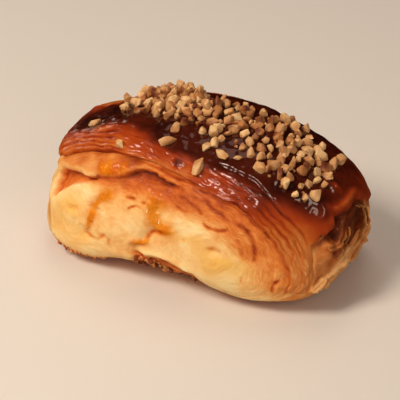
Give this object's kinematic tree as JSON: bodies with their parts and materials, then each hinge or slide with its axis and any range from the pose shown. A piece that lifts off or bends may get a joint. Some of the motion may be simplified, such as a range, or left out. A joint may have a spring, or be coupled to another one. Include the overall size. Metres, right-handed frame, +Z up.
{
  "type": "cream-filled puff pastry",
  "caption": "Flat double roll of puff pastry with a glazed crust, chopped nuts along its crown and custard strands running through from face to face",
  "frame": {"origin": "on the table under the middle of the pastry's box", "axes": "+X along the length to the pastry's right end, +Y from the front face to the back face, +Z up; the front face with its two lobes looks towards -Y"},
  "size_m": [0.1059, 0.0632, 0.0519],
  "materials": {
    "crust": "glazed red-brown crust, pale matt dough at the faces",
    "custard": "soft satin yellow custard"
  },
  "bodies": {
    "root": {"pastry": "crust", "cream_left": "custard", "cream_right": "custard"}
  },
  "joints": []
}
